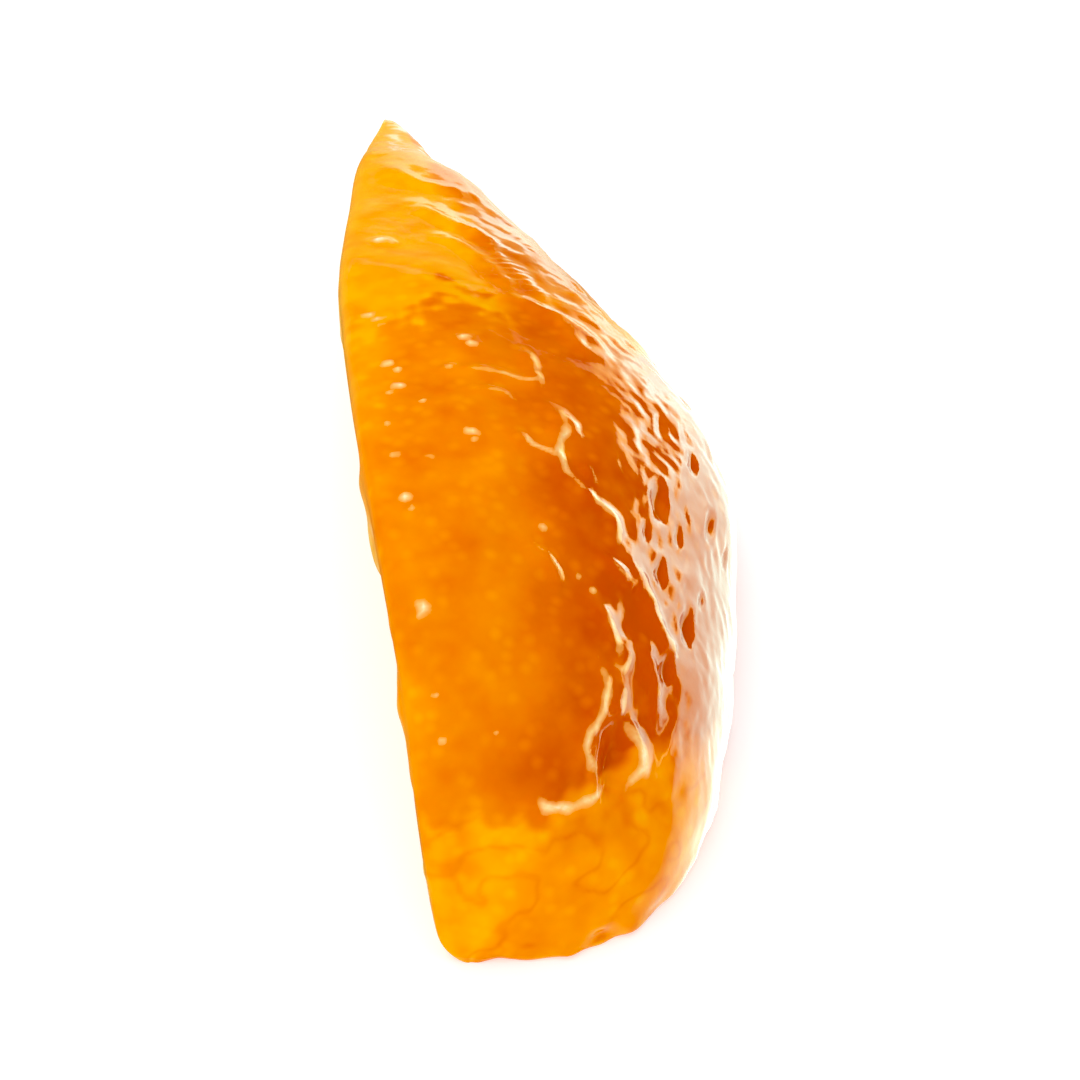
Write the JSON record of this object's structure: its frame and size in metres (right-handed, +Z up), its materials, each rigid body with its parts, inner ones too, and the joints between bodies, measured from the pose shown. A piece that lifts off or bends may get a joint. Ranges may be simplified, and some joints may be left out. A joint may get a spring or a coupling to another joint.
{
  "type": "dried yuzu peel",
  "caption": "Curved section of glazed dried yuzu peel, pointed at its far tip and blunt at its near end, standing on a cut face with the pith side hollow.",
  "frame": {"origin": "middle of the piece's footprint, on the surface it stands on", "axes": "+Y along the piece from its blunt end to its pointed tip, +X out of the rind side, +Z up out of the arch"},
  "size_m": [0.0224, 0.071, 0.0178],
  "materials": {
    "glazed_peel": "wet syrup glaze, high gloss over uneven rind"
  },
  "bodies": {
    "root": {"peel_section": "glazed_peel"}
  },
  "joints": []
}
